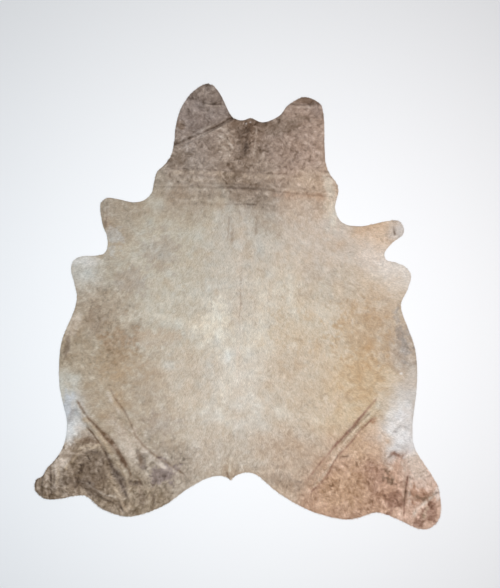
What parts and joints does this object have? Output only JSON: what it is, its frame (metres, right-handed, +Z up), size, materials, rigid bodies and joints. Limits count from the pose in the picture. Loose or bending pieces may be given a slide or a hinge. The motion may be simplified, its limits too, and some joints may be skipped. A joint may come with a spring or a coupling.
{
  "type": "cowhide rug",
  "caption": "Whole trimmed cowhide rug with its hair on, lying flat, hair side up, with storage creases at the neck, ears, haunches and hocks.",
  "frame": {"origin": "on the floor, under the middle of the hide's bounding box", "axes": "+Y towards the head, +Z up out of the hair side, +X towards the right of the picture"},
  "size_m": [2.027, 2.224, 0.0185],
  "materials": {
    "hair_on_leather": "short lying hair, taupe to beige, matt with a soft sheen"
  },
  "bodies": {
    "root": {"hide": "hair_on_leather"}
  },
  "joints": []
}
